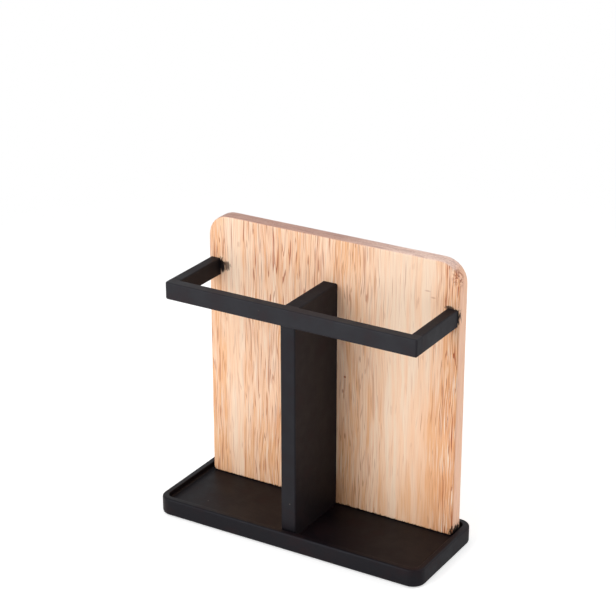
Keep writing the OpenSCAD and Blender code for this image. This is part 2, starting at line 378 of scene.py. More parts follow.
class Shape:
    """Faces gathered for one piece, then welded, made slightly uneven and put in the scene."""

    def __init__(self):
        self.bm = bmesh.new()

    def loft(self, rings):
        """Joins each ring of points to the next with faces."""
        rows = [[self.bm.verts.new(p) for p in ring] for ring in rings]
        for near, far in zip(rows, rows[1:]):
            for i in range(len(near)):
                j = (i + 1) % len(near)
                self.bm.faces.new((near[i], near[j], far[j], far[i]))

    def fill(self, place, loop, holes=(), spacing=3 * MM):
        """Covers the inside of a flat loop, but not the holes in it, with small triangles."""
        loops = [apart(loop)] + [apart(hole) for hole in holes]
        points, edges = [], []
        for each in loops:
            start, count = len(points), len(each)
            edges += [(start + i, start + (i + 1) % count) for i in range(count)]
            points += each
        points += grid_within(loops, spacing)
        flat, _, triangles, *_ = delaunay_2d_cdt([Vector(p) for p in points], edges, [], 0, WELD / 10)
        middles = [sum((flat[i] for i in t), Vector((0, 0))) / 3 for t in triangles]
        verts = [self.bm.verts.new(place(*p)) for p in flat]
        for triangle, keep in zip(triangles, inside(middles, loops)):
            if keep:
                self.bm.faces.new([verts[i] for i in triangle])

    def slab(self, outline, place, profile, spacing, first_holes=(), last_holes=()):
        """A piece between two flat faces.

        outline gives the loop for an inset. profile pairs inset and depth, from first face to last.
        """
        self.loft([[place(*p, depth) for p in outline(inset)] for inset, depth in profile])
        for (inset, depth), holes in ((profile[0], first_holes), (profile[-1], last_holes)):
            self.fill(lambda u, v: place(u, v, depth), outline(inset), holes, spacing)

    def cap(self, ring):
        """Closes a ring with one face."""
        self.bm.faces.new([self.bm.verts.new(p) for p in ring])

    def turned(self, place, profile, steps=ROUND):
        """Turns pairs of radius and depth round an axis. place takes two sides and a depth."""
        self.loft([[place(x, y, depth) for x, y in circle(0, 0, radius, steps)]
                   for radius, depth in profile])

    def bore(self, place, radius, depth):
        """Opens a blind round hole in a flat face. place takes two sides and a depth from that face."""
        centre = Vector(place(0, 0, 0))
        sides = [Vector(place(*each)) - centre for each in ((1, 0, 0), (0, 1, 0), (0, 0, 1))]
        cut = [face for face in self.bm.faces
               if (face.calc_center_median() - centre).length < radius + BORE_CLEAR
               and all(abs((v.co - centre).dot(sides[2])) < WELD for v in face.verts)]
        following = {}
        for face in cut:
            for corner in face.loops:
                if not any(other in cut for other in corner.edge.link_faces if other is not face):
                    following[corner.vert] = corner.link_loop_next.vert
        border = [next(iter(following))]
        while following[border[-1]] is not border[0]:
            border.append(following[border[-1]])
        if len(border) != len(following):
            raise RuntimeError("The flat face round a hole is not in one piece")
        border = [tuple((v.co - centre).dot(side) for side in sides[:2]) for v in border]
        bmesh.ops.delete(self.bm, geom=cut, context="FACES")
        self.fill(lambda u, v: place(u, v, 0), border, [circle(0, 0, radius)], BAR_MESH)
        self.tube(place, radius, depth)
        self.weld()

    def tube(self, place, radius, depth):
        """Adds the wall and the flat end of a blind round hole."""
        self.turned(place, [(radius, 0), (radius, depth), (0, depth)])

    def weld(self):
        """Joins points that coincide and turns all faces outwards."""
        bmesh.ops.remove_doubles(self.bm, verts=self.bm.verts, dist=WELD)
        bmesh.ops.dissolve_degenerate(self.bm, edges=self.bm.edges, dist=WELD / 10)
        loose = [v for v in self.bm.verts if not v.link_faces]
        bmesh.ops.delete(self.bm, geom=loose, context="VERTS")
        bmesh.ops.recalc_face_normals(self.bm, faces=self.bm.faces)

    def unevenness(self, depth, wave, held=()):
        """Sinks the surface by up to depth, in waves of that length, but not at the held planes.

        A held plane is an axis index and a place on it, where another piece meets this one.
        """
        self.bm.normal_update()
        for v in self.bm.verts:
            level = 0.5 + 0.5 * noise.noise(v.co / wave)
            free = min([abs(v.co[axis] - at) / FREE_FROM for axis, at in held] + [1.0])
            v.co -= v.normal * (depth * level * free)

    def piece(self, name, nodes, material, sharp=40):
        """Makes the object, rides it on the body and lets it stand for its CAD nodes."""
        for face in self.bm.faces:
            face.smooth = True
        for edge in self.bm.edges:
            edge.smooth = len(edge.link_faces) == 2 and edge.calc_face_angle() < math.radians(sharp)
        mesh = bpy.data.meshes.new(name)
        self.bm.to_mesh(mesh)
        self.bm.free()
        mesh.materials.append(material)
        made = bpy.data.objects.new(name, mesh)
        bpy.context.scene.collection.objects.link(made)
        shading = made.modifiers.new("even_shading", "WEIGHTED_NORMAL")
        shading.keep_sharp = True
        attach(made, BODY)
        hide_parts(*nodes)
        return made


# Shader graphs

class Graph:
    """One material with its shader, to which nodes are added by name."""

    def __init__(self, name):
        self.material = bpy.data.materials.new(name)
        self.material.use_nodes = True
        self.tree = self.material.node_tree
        self.shader = next(n for n in self.tree.nodes if n.type == "BSDF_PRINCIPLED")
        coordinates = self.node("ShaderNodeTexCoord")
        self.place = self.scaled(coordinates.outputs["Object"], (1 / MM,) * 3)
        self.normal = coordinates.outputs["Normal"]

    def node(self, kind):
        return self.tree.nodes.new(kind)

    def feed(self, socket, value):
        """Links a socket to another, or sets its own value."""
        if isinstance(value, bpy.types.NodeSocket):
            self.tree.links.new(value, socket)
        else:
            socket.default_value = value

    def shade(self, **values):
        """Feeds the shader's inputs, named with underscores."""
        for name, value in values.items():
            self.feed(self.shader.inputs[name.replace("_", " ")], value)

    def math(self, operation, *values):
        made = self.node("ShaderNodeMath")
        made.operation = operation
        for socket, value in zip(made.inputs, values):
            self.feed(socket, value)
        return made.outputs[0]

    def plus(self, first, second):
        return self.math("ADD", first, second)

    def times(self, first, second):
        return self.math("MULTIPLY", first, second)

    def scaled(self, vector, scale):
        made = self.node("ShaderNodeVectorMath")
        made.operation = "MULTIPLY"
        self.feed(made.inputs[0], vector)
        self.feed(made.inputs[1], scale)
        return made.outputs[0]

    def parts(self, vector):
        made = self.node("ShaderNodeSeparateXYZ")
        self.feed(made.inputs[0], vector)
        return made.outputs

    def joined(self, x, y, z):
        made = self.node("ShaderNodeCombineXYZ")
        for socket, value in zip(made.inputs, (x, y, z)):
            self.feed(socket, value)
        return made.outputs[0]

    def noise(self, vector, detail=2.0, roughness=0.5):
        made = self.node("ShaderNodeTexNoise")
        self.feed(made.inputs["Vector"], vector)
        made.inputs["Scale"].default_value = 1.0
        made.inputs["Detail"].default_value = detail
        made.inputs["Roughness"].default_value = roughness
        return made.outputs["Fac"]

    def mottle(self, scale, detail=2.0, roughness=0.5):
        """Noise over the object's own millimetres, at one scale or at one for each axis."""
        scales = scale if isinstance(scale, tuple) else (scale,) * 3
        return self.noise(self.scaled(self.place, scales), detail, roughness)

    def cells(self, vector):
        """Distance to the nearest cell's middle, and a random number for that cell."""
        made = self.node("ShaderNodeTexVoronoi")
        self.feed(made.inputs["Vector"], vector)
        made.inputs["Scale"].default_value = 1.0
        return made.outputs["Distance"], self.parts(made.outputs["Color"])[0]

    def ramp(self, value, low, high, start=0.0, end=1.0, straight=False):
        """Takes low to high onto start to end, smoothly unless straight."""
        made = self.node("ShaderNodeMapRange")
        made.interpolation_type = "LINEAR" if straight else "SMOOTHSTEP"
        for socket, each in zip(made.inputs, (value, low, high, start, end)):
            self.feed(socket, each)
        return made.outputs[0]

    def mix(self, factor, first, second):
        """From the first colour at factor 0 to the second at 1."""
        made = self.node("ShaderNodeMix")
        made.data_type = "RGBA"
        for name, value in (("Factor_Float", factor), ("A_Color", first), ("B_Color", second)):
            socket = next(s for s in made.inputs if s.identifier == name)
            plain = isinstance(value, (float, bpy.types.NodeSocket))
            self.feed(socket, value if plain else (*value, 1.0))
        return next(s for s in made.outputs if s.identifier == "Result_Color")

    def bands(self, value, stops):
        """Follows given stops, each a place on the value's scale and a level."""
        low, high = stops[0][0], stops[-1][0]
        made = self.node("ShaderNodeValToRGB")
        made.color_ramp.interpolation = "EASE"
        elements = made.color_ramp.elements
        while len(elements) < len(stops):
            elements.new(0.5)
        for element, (place, level) in zip(elements, stops):
            element.position = (place - low) / (high - low)
            element.color = (level, level, level, 1)
        self.feed(made.inputs[0], self.ramp(value, low, high, straight=True))
        return made.outputs[0]

    def swing(self, scale, reach):
        """A smooth wander between plus and minus half that reach."""
        return self.math("MULTIPLY_ADD", self.mottle(scale), reach, -reach / 2)

    def facing(self, axis, low, high, start=0.0, end=1.0):
        """A ramp over how squarely the surface faces along that axis, either way."""
        return self.ramp(self.math("ABSOLUTE", self.parts(self.normal)[axis]), low, high, start, end)

    def spot(self, centre, size, ragged=0.0, soft=0.7):
        """1 at a centre in millimetres, and 0 outside an ellipsoid of that half size round it."""
        shifted = self.node("ShaderNodeVectorMath")
        shifted.operation = "SUBTRACT"
        self.feed(shifted.inputs[0], self.place)
        self.feed(shifted.inputs[1], centre)
        reach = self.node("ShaderNodeVectorMath")
        reach.operation = "LENGTH"
        self.feed(reach.inputs[0], self.scaled(shifted.outputs[0], [1 / each for each in size]))
        return self.ramp(self.plus(reach.outputs["Value"], ragged), 1.0, 1.0 - soft)

    def bump(self, height, distance, under=None):
        made = self.node("ShaderNodeBump")
        made.inputs["Distance"].default_value = distance
        self.feed(made.inputs["Height"], height)
        if under is not None:
            self.feed(made.inputs["Normal"], under)
        return made.outputs[0]


def pale_wood(settings):
    """Sanded and oiled pale hardwood, grain along Z: warm and pale bands, fine streaks and open pores."""
    g = Graph("pale_wood")
    x, y, z = g.parts(g.place)
    slanted = g.math("MULTIPLY_ADD", g.math("SUBTRACT", y, FACE_PLANE), RING_SLANT, x)
    lean = g.swing((0.03, 0.03, 0.012), 3.0)
    waver = g.swing((0.15, 0.15, 0.05), 1.8)
    across = g.plus(slanted, g.plus(lean, waver))

    def drawn_out(across_scale, along_scale, seed, detail=2.0):
        """Noise drawn out along the grain."""
        spread = g.joined(g.times(across, across_scale), seed, g.times(z, along_scale))
        return g.noise(spread, detail, 0.6)

    # Bands of warmer and paler wood, deepening towards the bottom and the lower right, where the
    # deepening is partly painted shade
    # Deeper towards the bottom: painted shade of the light falling off downwards
    warmth = g.plus(g.bands(across, WARM_BANDS), g.ramp(z, 100.0, 15.0, 0.0, 0.15))
    warmth = g.plus(warmth, g.ramp(z, 30.0, 8.0, 0.0, 0.25))
    warmth = g.plus(warmth, g.ramp(drawn_out(0.4, 0.025, 0.0, 1.0), 0.3, 0.7, -0.3, 0.3))
    # Deeper wood at the lower right, partly a painted shadow cast there
    lower_right_wood_and_shade = g.times(g.ramp(z, 90.0, 30.0), g.ramp(x, 25.0, 45.0, 0.0, 0.5))
    warmth = g.plus(warmth, lower_right_wood_and_shade)
    colour = g.mix(g.ramp(warmth, 0.0, 0.5), settings.pale, settings.peach)
    colour = g.mix(g.ramp(warmth, 0.5, 1.0), colour, settings.amber)
    colour = g.mix(g.times(lower_right_wood_and_shade, 0.4), colour, settings.streak)

    # Streaks and fibres along the grain
    busy = g.bands(across, BUSY_BANDS)
    streak = g.ramp(drawn_out(1.7, 0.045, 5.0), 0.54, 0.68)
    colour = g.mix(g.times(streak, g.times(busy, 0.4)), colour, settings.streak)
    fibre = drawn_out(3.2, 0.07, 11.0)
    dark = g.ramp(fibre, 0.5, 0.66)
    colour = g.mix(g.times(dark, g.math("MULTIPLY_ADD", busy, 0.42, 0.04)), colour, settings.fibre)
    light = g.ramp(fibre, 0.5, 0.34)
    colour = g.mix(g.times(light, g.math("MULTIPLY_ADD", busy, 0.5, 0.12)), colour, settings.palest)
    hair = g.ramp(drawn_out(6.5, 0.05, 53.0, 1.0), 0.5, 0.62)
    colour = g.mix(g.times(hair, g.math("MULTIPLY_ADD", busy, 0.26, 0.03)), colour, settings.fibre)

    # Long dark lines, then pores and flecks
    level = g.math("FRACT", g.times(drawn_out(0.5, 0.02, 23.0, 1.0), 7.0))
    line = g.ramp(g.math("ABSOLUTE", g.math("SUBTRACT", level, 0.5)), 0.13, 0.05)
    line = g.times(line, g.ramp(drawn_out(2.6, 0.04, 31.0), 0.42, 0.54))
    darkness = g.math("MULTIPLY_ADD", busy, g.ramp(z, 60.0, 88.0, 0.52, 0.75), 0.08)
    colour = g.mix(g.times(line, darkness), colour, settings.pore)
    marks = []
    for across_scale, along_scale, reach, often in ((1.15, 0.04, 0.22, 0.4), (1.9, 0.035, 0.24, 0.5)):
        gap, chance = g.cells(g.joined(g.times(across, across_scale), g.times(y, across_scale),
                                       g.times(z, along_scale)))
        shown = g.math("LESS_THAN", chance, g.times(busy, often))
        marks.append(g.times(g.ramp(gap, reach, reach / 2), shown))
    for mark, strength in zip(marks, (0.5, 0.6)):
        colour = g.mix(g.times(mark, strength), colour, settings.pore)
    for (centre_x, centre_z), (half_x, half_z), strength in BOARD_MARKS:
        fleck = g.spot((centre_x, FACE_PLANE, centre_z), (half_x, MARK_DEPTH, half_z))
        colour = g.mix(g.times(fleck, strength), colour, settings.pore)

    # Side edges lightened as painted light, and end grain
    colour = g.mix(g.times(g.facing(X, 0.6, 0.95), 0.75), colour, settings.side_edge_light)
    facing_end = g.facing(Z, 0.5, 0.9)
    speckle = g.mottle(2.2, 3.0, 0.7)
    end_colour = g.mix(g.ramp(x, -5.0, 35.0), settings.end_grain, settings.end_grain_pale)
    layers = g.mottle((0.12, 1.6, 1.6), 3.0, 0.6)
    end_colour = g.mix(g.ramp(layers, 0.45, 0.65, 0.0, 0.35), end_colour, settings.end_layer)
    end_colour = g.mix(g.ramp(speckle, 0.45, 0.7, 0.0, 0.4), end_colour, settings.pore)
    colour = g.mix(facing_end, colour, end_colour)

    # The rough corner, and the black smears: lacquer at the arms' ends with painted contact shade, and
    # painted shadow at the board's foot
    torn = g.mottle(0.9, 3.0, 0.7)
    rough = g.times(g.spot(*ROUGH_CORNER), g.ramp(torn, 0.48, 0.56))
    colour = g.mix(g.times(rough, 0.9), colour, settings.rough_grain)
    pores = g.math("MAXIMUM", marks[1], g.times(marks[0], 0.5))
    ragged = g.swing((1.8, 1.8, 0.7), 1.5)
    # Lacquer smears with painted contact shade round the arms, and painted shadow and shade at the
    # board's foot
    smear_and_shade = 0.0
    for centre, size, strength in SMEARS_AND_SHADE:
        smear_and_shade = g.math("MAXIMUM", smear_and_shade, g.times(g.spot(centre, size, ragged, 0.5), strength))
    colour = g.mix(smear_and_shade, colour, settings.smear_and_shade)
    sunk = g.bump(g.times(pores, -1.0), 0.03 * MM)
    g.shade(Base_Color=colour, Roughness=g.math("MULTIPLY_ADD", pores, 0.2, settings.roughness),
            Specular_IOR_Level=0.25, Normal=g.bump(fibre, 0.02 * MM, under=sunk))
    return g.material


def black_lacquer(settings, name, along, gloss, rubbed=0.0):
    """Satin black lacquer over wood whose grain runs along the given axis.

    gloss is the shader's specular level, rubbed how much smoother the coat is than the settings say.
    """
    g = Graph(name)
    stretch = [1.6, 1.6, 1.6]
    stretch[along] = 0.05
    grain = g.mottle(tuple(stretch), 3.0, 0.6)
    cloud = g.mottle(0.12, 3.0, 0.6)
    peel = g.mottle(1.1, 1.0)
    colour = g.mix(g.ramp(cloud, 0.45, 0.8, 0.0, 0.5), settings.black, settings.worn)
    gap, chance = g.cells(g.scaled(g.place, (0.25, 0.25, 0.25)))
    dust = g.times(g.ramp(gap, 0.07, 0.03), g.math("LESS_THAN", chance, 0.3))
    colour = g.mix(g.times(dust, 0.35), colour, settings.dust)
    rough = g.plus(settings.roughness - rubbed, g.ramp(cloud, 0.3, 0.7, -0.05, 0.06))
    rough = g.plus(rough, g.facing(along, 0.6, 0.95, 0.0, settings.dulled))
    relief = g.bump(grain, 0.02 * MM)
    g.shade(Base_Color=colour, Roughness=rough, Specular_IOR_Level=gloss,
            Specular_Tint=(*settings.sheen, 1), Normal=g.bump(peel, 0.01 * MM, under=relief))
    return g.material


def zinc_plate(settings):
    """Zinc plated steel, bright and slightly mottled."""
    g = Graph("zinc_plate")
    cloud = g.mottle(1.4, 3.0, 0.7)
    lighter = tuple(min(level * 1.15, 1.0) for level in settings.zinc)
    g.shade(Base_Color=g.mix(g.ramp(cloud, 0.35, 0.65), settings.zinc, lighter), Metallic=1.0,
            Roughness=g.ramp(cloud, 0.3, 0.7, 0.24, 0.42), Normal=g.bump(cloud, 0.01 * MM))
    return g.material


def beech(settings):
    """Plain beech of the dowels, with its short flecks along Y."""
    g = Graph("beech")
    fleck = g.mottle((3.0, 0.3, 3.0), 3.0, 0.7)
    darker = tuple(level * 0.7 for level in settings.beech)
    g.shade(Base_Color=g.mix(g.ramp(fleck, 0.5, 0.7), settings.beech, darker), Roughness=0.7,
            Normal=g.bump(fleck, 0.03 * MM))
    return g.material


def rubber(settings):
    """Matt moulded rubber with a fine tooth."""
    g = Graph("rubber")
    tooth = g.mottle(5.0, 2.0, 0.7)
    dust = g.mottle(0.5, 3.0, 0.7)
    paler = tuple(level * 1.8 for level in settings.rubber)
    g.shade(Base_Color=g.mix(g.ramp(dust, 0.45, 0.75, 0.0, 0.6), settings.rubber, paler), Roughness=0.85,
            Specular_IOR_Level=0.3, Normal=g.bump(tooth, 0.03 * MM))
    return g.material


# Stage

def seen_directly(tree):
    """1 where the ray comes from the camera, a mirror or glass, and 0 for light that falls on things."""
    path = tree.nodes.new("ShaderNodeLightPath")
    total = path.outputs["Is Camera Ray"]
    for name in ("Is Glossy Ray", "Is Transmission Ray"):
        added = tree.nodes.new("ShaderNodeMath")
        added.operation = "MAXIMUM"
        tree.links.new(total, added.inputs[0])
        tree.links.new(path.outputs[name], added.inputs[1])
        total = added.outputs[0]
    return total


def background(settings):
    """A white background, which lights the object at the room's own level."""
    world = bpy.data.worlds.new("white_room")
    world.use_nodes = True
    tree = world.node_tree
    strength = tree.nodes.new("ShaderNodeMapRange")
    tree.links.new(seen_directly(tree), strength.inputs["Value"])
    strength.inputs["To Min"].default_value = settings.room
    sky = tree.nodes["Background"]
    sky.inputs["Color"].default_value = (1, 1, 1, 1)
    tree.links.new(strength.outputs[0], sky.inputs["Strength"])
    bpy.context.scene.world = world


def floor(settings):
    """A plain pale floor, white where nothing shades it, that ends softly in the white background."""
    g = Graph("pale_floor")
    lift = g.times(seen_directly(g.tree), settings.floor_lift)
    x, y, _ = g.parts(g.place)
    radius = g.math("POWER", g.plus(g.times(x, x), g.times(y, y)), 0.5)
    solid = g.ramp(radius, settings.floor_radius / MM, settings.floor_radius / MM * 0.45)
    g.shade(Base_Color=(*settings.floor, 1), Roughness=0.9, Specular_IOR_Level=0.0,
            Emission_Color=(1, 1, 1, 1), Emission_Strength=lift, Alpha=solid)
    mesh = bpy.data.meshes.new("floor")
    mesh.from_pydata([(x, y, 0) for x, y in circle(0, 0, settings.floor_radius, 64)], [], [range(64)])
    mesh.materials.append(g.material)
    made = bpy.data.objects.new("floor", mesh)
    bpy.context.scene.collection.objects.link(made)


def away(azimuth, elevation):
    """Direction to something that stands at that azimuth, round to the right, and elevation."""
    flat = math.cos(elevation)
    return Vector((math.sin(azimuth) * flat, -math.cos(azimuth) * flat, math.sin(elevation)))


def aimed(made, settings, direction, distance):
    """Stands a lamp or camera off in that direction, facing the point in the middle of the picture."""
    made.location = Vector(settings.look_at) + direction * distance
    made.rotation_euler = direction.to_track_quat("Z", "Y").to_euler()
    bpy.context.scene.collection.objects.link(made)


def lamp(settings, name, azimuth, elevation, distance, width, height, power):
    """A large soft lamp, placed by azimuth and elevation in degrees."""
    light = bpy.data.lights.new(name, "AREA")
    light.shape = "RECTANGLE"
    light.size, light.size_y = width, height
    light.energy = power
    direction = away(math.radians(azimuth), math.radians(elevation))
    aimed(bpy.data.objects.new(name, light), settings, direction, distance)


def camera(settings):
    """The camera, at the photograph's angle."""
    lens = bpy.data.cameras.new("camera")
    lens.lens = settings.lens / MM
    lens.sensor_width = 36
    made = bpy.data.objects.new("camera", lens)
    aimed(made, settings, away(settings.azimuth, settings.elevation), settings.distance)
    bpy.context.scene.camera = made


# Pieces

def middle(node):
    """The middle of a CAD node's box."""
    low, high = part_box(node)
    return [(low[i] + high[i]) / 2 for i in range(3)]


def drilled(shape, spots, place, profile):
    """Holes of one kind, at spots in the plane that place takes. profile pairs radius and depth."""
    for u, v in spots:
        shape.turned(lambda x, y, depth: place(u + x, v + y, depth), profile)


def circles(spots, radius):
    """The outlines of those holes where they open."""
    return [circle(u, v, radius) for u, v in spots]


def from_face(node, axis, face, forward):
    """Places points about a fixing: two sides, and a depth from the face at that place on its axis.

    forward tells whether the depth grows towards higher places on the axis.
    """
    centre = middle(node)
    side, other = [i for i in range(3) if i != axis]

    def place(u, v, depth):
        point = list(centre)
        point[side] += u
        point[other] += v
        point[axis] = face + depth if forward else face - depth
        return point

    return place


def from_end(node, axis, forward):
    """Places points of a fixing itself, from one end of it."""
    low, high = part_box(node)
    return from_face(node, axis, (low if forward else high)[axis], forward)


def hole(node, axis, face, forward):
    """What places the blind hole of a fixing in that face, its radius and its depth."""
    low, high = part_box(node)
    end = high[axis] + ROOM if forward else low[axis] - ROOM
    return from_face(node, axis, face, forward), SHANK_ROOM, abs(end - face)


def back_board(settings, material):
    """Upright board with round top corners and eased edges, drilled for the screws from behind."""
    low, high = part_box("back_board")
    thickness = high[1] - low[1]
    radii = (settings.foot_radius,) * 2 + (settings.corner_radius,) * 2
    spots = [(middle(node)[0], middle(node)[2]) for node in BACK_SCREWS]

    def outline(inset):
        return rounded_outline((low[0], low[2]), (high[0], high[2]), radii, inset, BOARD_MESH)

    def place(u, v, depth):
        return (u, low[1] + depth, v)

    board = Shape()
    board.slab(outline, place, eased_edge(settings.ease, thickness), BOARD_MESH,
               circles(spots, SHANK_ROOM), circles(spots, HEAD_ROOM))
    drilled(board, spots, place, [(HEAD_ROOM, thickness), (HEAD_ROOM, thickness - HEAD_LAND),
                                  (SHANK_ROOM, thickness - HEAD_HEIGHT), (SHANK_ROOM, 0)])
    board.weld()
    for node in BELOW_SCREWS[:2]:
        board.bore(*hole(node, Z, low[Z], True))
    board.unevenness(settings.unevenness, BOARD_WAVE, held=((Z, low[Z]),))
    return board.piece("board", ["back_board"], material)


def tray(settings, material):
    """Tray with a raised rim and a hollow fillet, drilled and pocketed underneath."""
    low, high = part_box("base_tray")
    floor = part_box("back_board")[0][2]
    ease, rim = settings.tray_ease, settings.rim_width
    rim_ease, fillet = settings.rim_ease, settings.floor_fillet
    profile = [(rim + fillet - x, floor + fillet - y) for x, y in arc(0, 0, fillet, 90, 0, EDGE_STEPS)]
    profile += [(rim - rim_ease + x, high[2] - rim_ease + y)
                for x, y in arc(0, 0, rim_ease, 0, 90, RIM_STEPS)]
    profile += [(ease - x, high[2] - ease + y) for x, y in arc(0, 0, ease, 90, 0, EDGE_STEPS)]
    wall = high[2] - low[2] - 2 * ease
    profile += [(0, high[2] - ease - wall * k / EDGE_SPANS) for k in range(1, EDGE_SPANS)]
    profile += [(ease - x, low[2] + ease - y) for x, y in arc(0, 0, ease, 0, 90, EDGE_STEPS)]
    screws = [tuple(middle(node)[:2]) for node in BELOW_SCREWS]
    feet = [tuple(middle(node)[:2]) for node in FEET]

    def outline(inset):
        return rounded_outline(low[:2], high[:2], (settings.tray_corner,) * 4, inset, BAR_MESH)

    def place(u, v, z):
        return (u, v, z)

    made = Shape()
    made.slab(outline, place, profile, BOARD_MESH, circles(screws, SHANK_ROOM),
              circles(screws, HEAD_ROOM) + circles(feet, FOOT_ROOM))
    drilled(made, screws, place, [(HEAD_ROOM, low[2]), (HEAD_ROOM, low[2] + HEAD_LAND),
                                  (SHANK_ROOM, low[2] + HEAD_HEIGHT), (SHANK_ROOM, floor)])
    foot_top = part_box(FEET[0])[1][2]
    drilled(made, feet, place, [(FOOT_ROOM, low[2]), (FOOT_ROOM, foot_top)])
    for u, v in feet:
        made.fill(lambda x, y: (x, y, foot_top), circle(u, v, FOOT_ROOM), spacing=BAR_MESH)
    made.weld()
    made.unevenness(settings.unevenness, LACQUER_WAVE, held=((Z, floor),))
    return made.piece("tray", ["base_tray"], material)


def divider(settings, material):
    """Panel between the compartments, stepped at the top front where the rail's bar lies on it."""
    low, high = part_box("divider_panel")
    bar_low, bar_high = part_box("rail_front_bar")

    def corners(inset):
        front, top = low[1] + inset, high[2] - inset
        return [(front, low[2]), (front, bar_low[2]), (bar_high[1], bar_low[2]), (bar_high[1], top),
                (high[1], top), (high[1], low[2])]

    def outline(inset):
        return dense(corners, inset, BAR_MESH)

    def place(u, v, depth):
        return (low[0] + depth, u, v)

    made = Shape()
    made.slab(outline, place, eased_edge(settings.bar_ease, high[0] - low[0]), BOARD_MESH)
    made.weld()
    for node in BACK_SCREWS[2:]:
        made.bore(*hole(node, Y, high[Y], False))
    made.bore(*hole(BELOW_SCREWS[2], Z, low[Z], True))
    made.bore(*hole(DOWELS[2], Y, bar_high[Y], True))
    made.unevenness(settings.unevenness, LACQUER_WAVE,
                    held=((Y, bar_high[Y]), (Z, bar_low[Z]), (Y, high[Y]), (Z, low[Z])))
    return made.piece("divider", ["divider_panel"], material)


def rail_bar(settings, material):
    """Front bar of the rail. Its edges are eased, but not where the arms and the divider meet it."""
    low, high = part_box("rail_front_bar")
    arm = high[0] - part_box("rail_right_arm")[0][0]
    half_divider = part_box("divider_panel")[1][0]
    first, second = settings.left_corner, settings.right_corner

    def corners(inset):
        left, right, back = low[0] + inset, high[0] - inset, high[1]
        points = arc(low[0] + first, low[1] + first, first - inset, 180, 270, RAIL_CORNER_STEPS)
        points += arc(high[0] - second, low[1] + second, second - inset, 270, 360, RAIL_CORNER_STEPS)
        points += [(right, back), (high[0] - arm + inset, back), (high[0] - arm + inset, back - inset),
                   (half_divider - inset, back - inset), (half_divider - inset, back),
                   (inset - half_divider, back), (inset - half_divider, back - inset),
                   (low[0] + arm - inset, back - inset), (low[0] + arm - inset, back), (left, back)]
        return points

    def outline(inset):
        return dense(corners, inset, BAR_MESH)

    def place(u, v, depth):
        return (u, v, low[2] + depth)

    made = Shape()
    made.slab(outline, place, eased_edge(settings.bar_ease, high[2] - low[2]), BAR_MESH)
    made.weld()
    for node in DOWELS:
        made.bore(*hole(node, Y, high[Y], False))
    made.unevenness(settings.unevenness, LACQUER_WAVE, held=((Y, high[Y]),))
    return made.piece("rail_bar", ["rail_front_bar"], material)


def rail_arm(settings, side, material):
    """One arm of the rail, from the front bar back to the board. side is 0 for left and 1 for right."""
    node = f"rail_{SIDES[side]}_arm"
    low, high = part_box(node)
    section = rounded_outline((low[0], low[2]), (high[0], high[2]), (settings.bar_ease,) * 4, 0,
                              BAR_MESH, EDGE_STEPS)
    steps = round((high[1] - low[1]) / BAR_MESH)
    rows = [low[1] + (high[1] - low[1]) * k / steps for k in range(steps + 1)]
    made = Shape()
    made.loft([[(x, y, z) for x, z in section] for y in rows])
    for fixing, y, forward in ((DOWELS[side], low[1], True), (BACK_SCREWS[side], high[1], False)):
        made.fill(lambda x, z: (x, y, z), section, circles([middle(fixing)[::2]], SHANK_ROOM), BAR_MESH)
        made.tube(*hole(fixing, Y, y, forward))
    made.weld()
    made.unevenness(settings.unevenness, LACQUER_WAVE, held=((Y, low[Y]), (Y, high[Y])))
    return made.piece(f"{SIDES[side]}_arm", [node], material)


def cross(size):
    """Outline of a cross recess with hollow inner corners."""
    long, wide = size, size * 0.26
    quarter = [(long, -wide * 0.7), (long * 1.04, 0), (long, wide * 0.7), (wide * 1.5, wide),
               (wide, wide * 1.5)]
    points = []
    for turn in range(4):
        c, s = math.cos(turn * math.pi / 2), math.sin(turn * math.pi / 2)
        points += [(x * c - y * s, x * s + y * c) for x, y in quarter]
    return points


def screw(settings, node, place, material):
    """Countersunk wood screw: recessed head, bare neck, turning thread and point."""
    low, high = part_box(node)
    total = max(high[i] - low[i] for i in range(3))
    head = min(high[i] - low[i] for i in range(3)) / 2
    start = HEAD_HEIGHT + NECK
    bottom = HEAD_HEIGHT * 0.8
    recess = ((head * 0.5, DISH), (head * 0.42, bottom / 2), (head * 0.2, bottom))
    made = Shape()
    made.fill(lambda x, y: place(x, y, DISH), circle(0, 0, head - DISH), [cross(head * 0.5)], RECESS_MESH)
    made.loft([[place(x, y, depth) for x, y in cross(size)] for size, depth in recess])
    made.fill(lambda x, y: place(x, y, bottom), cross(head * 0.2))
    made.turned(place, [(head - DISH, DISH), (head, 2 * DISH), (head, HEAD_LAND), (SHANK, HEAD_HEIGHT),
                        (SHANK, start)])
    count = round((total - start) / settings.thread_pitch * THREAD_RINGS)
    rings = []
    for k in range(count):
        depth = start + (total - start) * k / count
        ring = []
        for i in range(ROUND):
            phase = (depth / settings.thread_pitch - i / ROUND) % 1.0
            crest = max(0.0, 1.0 - abs(phase - 0.5) * 3.4)
            grown = min((depth - start) / settings.thread_pitch, 1.0)
            taper = min((total - depth) / (2 * SHANK), 1.0)
            radius = (SHANK - settings.thread_depth * grown * (1.0 - crest)) * taper
            turn = 2 * math.pi * i / ROUND
            ring.append(place(radius * math.cos(turn), radius * math.sin(turn), depth))
        rings.append(ring)
    rings.append([place(0, 0, total)] * ROUND)
    made.loft(rings)
    made.weld()
    return made.piece(node.replace("screw", "wood_screw"), [node], material, sharp=50)


